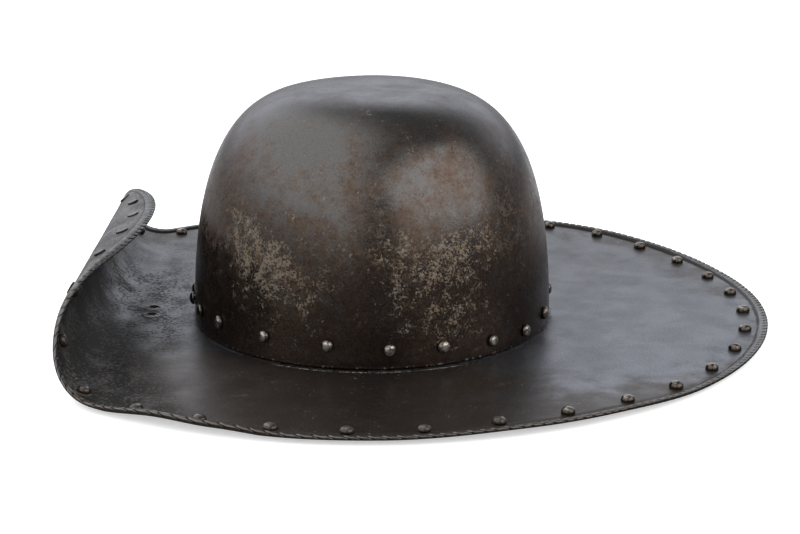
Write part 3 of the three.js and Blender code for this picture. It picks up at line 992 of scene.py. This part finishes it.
def filed_cuts_tree():
    """Files slanting cuts across the outer side of a roll, by its points' cut phase and place around.

    It also stores a mask of grime in the cuts and of painted shade under the roll and along its inner edge.
    """
    tree = bpy.data.node_groups.new("filed_cuts", "GeometryNodeTree")
    graph, given, result = add_sockets(tree, {
        "Roll": "NodeSocketGeometry", "Cut Depth": "NodeSocketFloat", "Cut Width": "NodeSocketFloat",
        "Slant": "NodeSocketFloat", "Finish": "NodeSocketMaterial",
    }, {"Roll": "NodeSocketGeometry"})
    around = graph.point_value("around")

    def turned(value, low, high, end=1.0):
        """Smooth change from nothing at one angle in degrees to an end value at another."""
        return graph.ramp(value, math.radians(low), math.radians(high), 0.0, end)

    slanted = graph.add(graph.point_value("cut_phase"), around, given["Slant"])
    share = graph.math("SUBTRACT", graph.product(graph.math("FRACT", slanted), 2.0), 1.0)
    cut_start = graph.math("SUBTRACT", 1.0, given["Cut Width"])
    cut = graph.ramp(graph.math("ABSOLUTE", share), cut_start, 1.0)
    groove = graph.product(cut, graph.product(turned(around, 90, 45), turned(around, -80, -45)))
    depth = graph.product(groove, graph.product(given["Cut Depth"], -1.0))

    # Painted shade: the roll's underside, and its inner side at the back and the right, are marked dark
    x, y, _ = graph.split(graph.node("GeometryNodeInputPosition").outputs[0])
    right = graph.ramp(x, 30 * MM, 130 * MM)
    near_right = graph.product(right, graph.ramp(y, 30 * MM, -40 * MM))
    level = graph.ramp(x, -155 * MM, -125 * MM, 0.45, 1.0)
    lower = graph.add(around, near_right, math.radians(-58))
    underside = graph.product(turned(lower, -22, -50), level)
    back = graph.ramp(y, 60 * MM, 120 * MM, 0.0, 0.75)
    aside = graph.product(graph.ramp(y, -90 * MM, 10 * MM, 0.0, 0.9), right)
    inner_edge = graph.largest(
        turned(around, 118, 160, 0.8),
        graph.product(turned(around, 60, 115), back),
        graph.product(turned(around, 92, 125), aside))
    soiled = graph.largest(groove, underside, inner_edge)

    offset = graph.along(graph.node("GeometryNodeInputNormal").outputs[0], depth)
    stored = graph.node(
        "GeometryNodeStoreNamedAttribute", {"Name": "soiled", 0: given["Roll"], 3: soiled})
    filed = graph.node("GeometryNodeSetPosition", {0: stored.outputs[0], "Offset": offset})
    real = graph.node("GeometryNodeRealizeInstances", {0: filed.outputs[0]})
    done = graph.node("GeometryNodeSetMaterial", {0: real.outputs[0], "Material": given["Finish"]})
    graph.feed(result["Roll"], done.outputs[0])
    return tree


def add_tree(piece, tree, values):
    modifier = piece.modifiers.new(tree.name, "NODES")
    modifier.node_group = tree
    for item in tree.interface.items_tree:
        if item.in_out == "INPUT" and item.name in values:
            modifier[item.identifier] = values[item.name]
    settle(piece)


def make_rolled_rim(finish):
    """The roll along the brim's edge, with its filed cuts."""
    half_width, half_height = ROLL_SECTION
    marks = cut_marks()
    rings = []
    phases = []
    arounds = []
    for angle in turns(RIM_SEGMENTS):
        point, out = outline_point(angle)
        mark = bisect.bisect_right(marks, angle) - 1
        phase = mark + (angle - marks[mark]) / (marks[mark + 1] - marks[mark])
        middle = ROLL_MIDDLE - PLATE_MIDDLE + value_around(ROLL_LIFTS, point.x, point.y) * MM
        ring = []
        for k in range(RIM_SIDES):
            around = math.pi * (1.0 - 2.0 * k / RIM_SIDES)
            wide = half_width * math.cos(around)
            high = half_height * math.sin(around)
            edge = point + out * (wide * math.cos(ROLL_SLOPE) - high * math.sin(ROLL_SLOPE))
            up = wide * math.sin(ROLL_SLOPE) + high * math.cos(ROLL_SLOPE)
            ring.append(turn_up(edge.x, edge.y, middle + up))
            phases.append(phase)
            arounds.append(around)
        rings.append(ring)
    rim = loft("rolled_rim", rings, loop=True)
    point_values(rim, "cut_phase", phases)
    point_values(rim, "around", arounds)
    add_tree(rim, filed_cuts_tree(), {
        "Cut Depth": CUT_DEPTH, "Cut Width": CUT_WIDTH, "Slant": CUT_SLANT, "Finish": finish,
    })
    return rim


def make_rivet_form(name, size, grip):
    """One rivet along Z: flat peened tail, shank and domed head, its seat at the origin."""
    tail = size["tail"]
    tail_end = -grip - size["tail_rise"]
    profile = [  # radius, place along the rivet, rise share
        (0.55 * tail, tail_end, 0.2),
        (0.84 * tail, tail_end + 0.06 * size["tail_rise"], 0.15),
        (0.97 * tail, tail_end + 0.3 * size["tail_rise"], 0.0),
        (tail, -grip, 0.0),
        (size["shank"], -grip, 0.0),
        (size["shank"], 0.0, 0.0),
        (0.93 * size["head"], 0.0, 0.0),
        (0.98 * size["head"], 0.4 * size["edge"] * size["rise"], 0.05),
    ]
    dome_foot = size["edge"]
    for i in range(RIVET_DOME_RINGS):
        turn = math.pi / 2 * i / RIVET_DOME_RINGS
        rise = dome_foot + (1.0 - dome_foot) * math.sin(turn) ** size["flatness"]
        profile.append((size["head"] * math.cos(turn) ** 0.8, rise * size["rise"], rise))
    around = turns(RIVET_SEGMENTS)
    rings = [[Vector((0.0, 0.0, tail_end))]]
    rises = [0.2]
    for out, along, rise in profile:
        rings.append([Vector((out * math.cos(angle), out * math.sin(angle), along)) for angle in around])
        rises.extend([rise] * len(around))
    rings.append([Vector((0.0, 0.0, size["rise"]))])
    rises.append(1.0)
    form = loft(name, rings)
    point_values(form, "rise", rises)
    return form


def rivet_row_tree():
    """Sets a rivet on each seat, facing out, each a little different in size, turn and hammering."""
    tree = bpy.data.node_groups.new("rivet_row", "GeometryNodeTree")
    graph, given, result = add_sockets(tree, {
        "Seats": "NodeSocketGeometry", "Rivet": "NodeSocketObject", "Size Spread": "NodeSocketFloat",
        "Lean": "NodeSocketFloat", "Dent Depth": "NodeSocketFloat", "Dent Scale": "NodeSocketFloat",
        "Seed": "NodeSocketInt", "Finish": "NodeSocketMaterial",
    }, {"Rivets": "NodeSocketGeometry"})

    def chance(low, high, seed):
        return graph.node("FunctionNodeRandomValue", {2: low, 3: high, "Seed": seed}).outputs[1]

    def turn_about(axis, angle):
        return graph.node("FunctionNodeAxisAngleToRotation", {"Axis": axis, "Angle": angle}).outputs[0]

    def turn_by(first, second):
        inputs = {0: first, 1: second}
        return graph.node("FunctionNodeRotateRotation", inputs, rotation_space="LOCAL").outputs[0]

    def combine(x, y, z):
        return graph.node("ShaderNodeCombineXYZ", {0: x, 1: y, 2: z}).outputs[0]

    form = graph.node("GeometryNodeObjectInfo", {"Object": given["Rivet"], "As Instance": True})
    facing = graph.point_value("facing", "FLOAT_VECTOR")
    upright = graph.node("FunctionNodeAlignRotationToVector", {"Vector": facing}, axis="Z").outputs[0]
    spin = chance(0.0, 2.0 * math.pi, given["Seed"])
    lean_seed = graph.math("ADD", given["Seed"], 1.0)
    lean = chance(graph.product(given["Lean"], -1.0), given["Lean"], lean_seed)
    leaning = turn_by(upright, turn_about((0.0, 0.0, 1.0), spin))
    leaning = turn_by(leaning, turn_about((1.0, 0.0, 0.0), lean))
    smallest = graph.math("SUBTRACT", 1.0, given["Size Spread"])
    size = graph.node("FunctionNodeRandomValue", {
        0: combine(smallest, smallest, smallest), 1: (1.0, 1.0, 1.0),
        "Seed": graph.math("ADD", given["Seed"], 2.0),
    }, data_type="FLOAT_VECTOR").outputs[0]
    size = graph.vector("MULTIPLY", size, combine(1.0, 1.0, graph.point_value("beaten")))
    row = graph.node("GeometryNodeInstanceOnPoints", {
        "Points": given["Seats"], "Instance": form.outputs["Geometry"], "Rotation": leaning,
        "Scale": size,
    })
    real = graph.node("GeometryNodeRealizeInstances", {0: row.outputs[0]})
    marks = graph.noise(graph.node("GeometryNodeInputPosition").outputs[0], given["Dent Scale"], 2.0)
    dent = graph.product(marks, graph.product(given["Dent Depth"], -1.0))
    offset = graph.along(graph.node("GeometryNodeInputNormal").outputs[0], dent)
    dented = graph.node("GeometryNodeSetPosition", {0: real.outputs[0], "Offset": offset})
    done = graph.node("GeometryNodeSetMaterial", {0: dented.outputs[0], "Material": given["Finish"]})
    graph.feed(result["Rivets"], done.outputs[0])
    return tree


def make_rivets(name, size, grip, seats, tree, seed, finish):
    """A row of rivets on seats, each with its place, its facing and the share of height it has kept."""
    places, facings, beaten = zip(*seats)
    form = make_rivet_form(name + "_form", size, grip)
    mesh = bpy.data.meshes.new(name)
    mesh.from_pydata(places, [], [])
    rivets = bpy.data.objects.new(name, mesh)
    bpy.context.collection.objects.link(rivets)
    point_values(rivets, "facing", facings)
    point_values(rivets, "beaten", beaten)
    add_tree(rivets, tree, {**RIVET_VARIETY, "Rivet": form, "Seed": seed, "Finish": finish})
    discard(form)
    return rivets


def brim_rivet_seats():
    seats = []
    for i in range(BRIM_RIVET_COUNT):
        angle = BRIM_RIVET_FIRST + 2.0 * math.pi * i / BRIM_RIVET_COUNT
        x = BRIM_RIVET_CIRCLE * math.cos(angle)
        y = BRIM_RIVET_CIRCLE * math.sin(angle)
        seat = turn_up(x, y, HALF_PLATE)
        facing = (seat - turn_up(x, y, -HALF_PLATE)).normalized()
        beaten = 1.0 - value_around(RIVET_LOSSES, x, y)
        seats.append((seat, facing, beaten))
    return seats


def crown_rivet_seats():
    seats = []
    for degrees, height in CROWN_RIVETS:
        angle = math.radians(degrees)
        share = ((PLATE_TOP + height * MM - CROWN_BASE) / CROWN_HEIGHT) ** (CROWN_RISE_POWER / 2.0)
        seat = crown_point(CROWN_HALF_WIDTH, CROWN_HEIGHT, math.asin(share), angle)
        seats.append((seat, oval_facing(angle), 1.0))
    return seats


# The stage

BACKDROP_LEVEL = 1.6
LEFT_LEVEL = 2.0
ROOM_LEVEL = 0.27
FRONT_LEVEL = 0.165
SOFTBOXES = (  # azimuth from the camera's side towards +X, elevation, width, height, brightness
    (57, 36, 1.8, 1.1, 2.4),
)
WASH_BRIGHTNESS = 0.8
SOFTBOX_DISTANCE = 1.3
CAMERA_ELEVATION = math.radians(15.327)
CAMERA_DISTANCE = 1.10374
CAMERA_TARGET = Vector((BRIM_CENTRE_X + 14.75 * MM, 0.0, 26.0 * MM))
CAMERA_LENS = 90.1
SENSOR_WIDTH = 36.0
FLOOR_RADIUS = 6.0
FLOOR_GLOW = 0.5
WASH_PLACE = (0.0, 1.6, 1.6)
WASH_WIDTH = 3.0
WASH_DEPTH = 2.0


def make_floor():
    """A pale floor, lit a little from within, whose mirror image in the iron is darker than itself."""
    pale = tone(0.86, 0.86, 0.86)
    near_shade = tone(0.15, 0.15, 0.15)
    left_shade = tone(0.5, 0.5, 0.5)
    far_shade = tone(0.65, 0.65, 0.65)

    floor = loft("studio_floor", [
        [FLOOR_RADIUS * Vector((math.cos(angle), math.sin(angle), 0.0)) for angle in turns(FLOOR_SEGMENTS)],
        [Vector((0.0, 0.0, 0.0))],
    ])
    material = bpy.data.materials.new("pale_floor")
    material.use_nodes = True
    material.node_tree.nodes.clear()
    graph = Graph(material.node_tree)
    lit = graph.node("ShaderNodeBsdfDiffuse", {"Color": pale}).outputs[0]
    glow = graph.node("ShaderNodeEmission", {"Color": tone(1.0, 1.0, 1.0), "Strength": FLOOR_GLOW})
    seen = graph.node("ShaderNodeAddShader", {0: lit, 1: glow.outputs[0]}).outputs[0]
    place = graph.object_place()
    x, y, _ = graph.split(place)
    away = graph.node("ShaderNodeVectorMath", {0: place}, operation="LENGTH").outputs["Value"]
    away = graph.add(away, graph.ramp(x, -0.05, 0.2), 0.3)
    behind = graph.add(y, graph.math("ABSOLUTE", x), -0.6)
    bright = graph.product(graph.ramp(away, 0.25, 0.8), graph.ramp(behind, -0.1, 0.35))
    near = graph.blend(graph.ramp(x, -0.15, -0.6), near_shade, left_shade)
    shade = graph.blend(bright, near, far_shade)
    dim = graph.node("ShaderNodeBsdfDiffuse", {"Color": shade}).outputs[0]
    mirrored = graph.node("ShaderNodeLightPath").outputs["Is Glossy Ray"]
    mixed = graph.node("ShaderNodeMixShader", {0: mirrored, 1: seen, 2: dim}).outputs[0]
    graph.node("ShaderNodeOutputMaterial", {"Surface": mixed})
    finish_with(floor, material)


def make_room():
    """A dim room with a bright backdrop behind the hat and a bright bank to its left."""
    room_white = tone(0.98, 0.99, 1.0)
    backdrop_white = tone(0.935, 0.965, 1.05)

    world = bpy.data.worlds.new("studio")
    world.use_nodes = True
    world.node_tree.nodes.clear()
    graph = Graph(world.node_tree)
    x, y, z = graph.split(graph.node("ShaderNodeTexCoord").outputs["Generated"])
    below_top = graph.ramp(z, 0.66, 0.3)
    above_floor = graph.ramp(z, 0.07, 0.27, 0.1, 1.0)
    backdrop = graph.product(graph.ramp(y, 0.35, 0.85), graph.product(below_top, above_floor))
    level = graph.ramp(y, -0.9, 0.2, FRONT_LEVEL, ROOM_LEVEL)
    level = graph.mix(backdrop, level, BACKDROP_LEVEL)
    aside = graph.add(x, graph.math("MAXIMUM", y, 0.0), 0.35)
    aside = graph.add(aside, graph.math("MINIMUM", y, 0.0), -0.15)
    left = graph.product(graph.ramp(aside, 0.25, -0.15), graph.ramp(z, -0.05, 0.5))
    level = graph.mix(left, level, LEFT_LEVEL)
    seen = graph.node("ShaderNodeLightPath").outputs["Is Camera Ray"]
    level = graph.mix(seen, level, BACKDROP_LEVEL)
    colour = graph.blend(backdrop, room_white, backdrop_white)
    light = graph.node("ShaderNodeBackground", {"Color": colour, "Strength": level})
    graph.node("ShaderNodeOutputWorld", {"Surface": light.outputs[0]})
    bpy.context.scene.world = world


def add_panel(name, width, height, brightness):
    """A soft rectangular light that the camera doesn't see."""
    lamp = bpy.data.lights.new(name, "AREA")
    lamp.shape = "RECTANGLE"
    lamp.size = width
    lamp.size_y = height
    lamp.energy = brightness * math.pi * width * height
    panel = bpy.data.objects.new(name, lamp)
    panel.visible_camera = False
    bpy.context.collection.objects.link(panel)
    return panel


def make_softboxes():
    for azimuth, elevation, width, height, brightness in SOFTBOXES:
        turn = math.radians(azimuth)
        rise = math.radians(elevation)
        level = Vector((math.sin(turn), -math.cos(turn), 0.0)) * math.cos(rise)
        away = level + Vector((0.0, 0.0, math.sin(rise)))
        softbox = add_panel("softbox", width, height, brightness)
        softbox.location = CAMERA_TARGET + away * SOFTBOX_DISTANCE
        softbox.rotation_euler = away.to_track_quat("Z", "Y").to_euler()


def make_floor_wash():
    """Soft light from above on the floor behind the hat, kept out of the iron's reflections."""
    wash = add_panel("floor_wash", WASH_WIDTH, WASH_DEPTH, WASH_BRIGHTNESS)
    wash.location = WASH_PLACE
    wash.visible_glossy = False


def make_camera():
    data = bpy.data.cameras.new("photo_camera")
    data.sensor_fit = "HORIZONTAL"
    data.sensor_width = SENSOR_WIDTH
    data.lens = CAMERA_LENS
    camera = bpy.data.objects.new("photo_camera", data)
    back = Vector((0.0, -math.cos(CAMERA_ELEVATION), math.sin(CAMERA_ELEVATION)))
    camera.location = CAMERA_TARGET + back * CAMERA_DISTANCE
    camera.rotation_euler = (math.pi / 2 - CAMERA_ELEVATION, 0.0, 0.0)
    bpy.context.collection.objects.link(camera)
    bpy.context.scene.camera = camera


crown = make_crown()
finish_with(crown, crown_finish())
place_in_hat(crown, ["crown"])

brim = make_brim()
finish_with(brim, brim_finish())
place_in_hat(brim, ["brim"])

rim = make_rolled_rim(rim_finish())
place_in_hat(rim, ["brim"])

rivet_tree = rivet_row_tree()
crown_rivets = make_rivets(
    "crown_rivets", CROWN_RIVET, CROWN_RIVET_GRIP, crown_rivet_seats(), rivet_tree, CROWN_RIVET_SEED,
    rivet_finish("crown_rivet_iron", **CROWN_RIVET_TONES))
place_in_hat(crown_rivets, nodes_named("crown_rivet"))

brim_rivets = make_rivets(
    "brim_rivets", BRIM_RIVET, BRIM_THICKNESS, brim_rivet_seats(), rivet_tree, BRIM_RIVET_SEED,
    rivet_finish("brim_rivet_iron", **BRIM_RIVET_TONES))
place_in_hat(brim_rivets, nodes_named("brim_rivet"))

make_floor()
make_room()
make_softboxes()
make_floor_wash()
make_camera()
bpy.context.scene.view_settings.view_transform = "Standard"
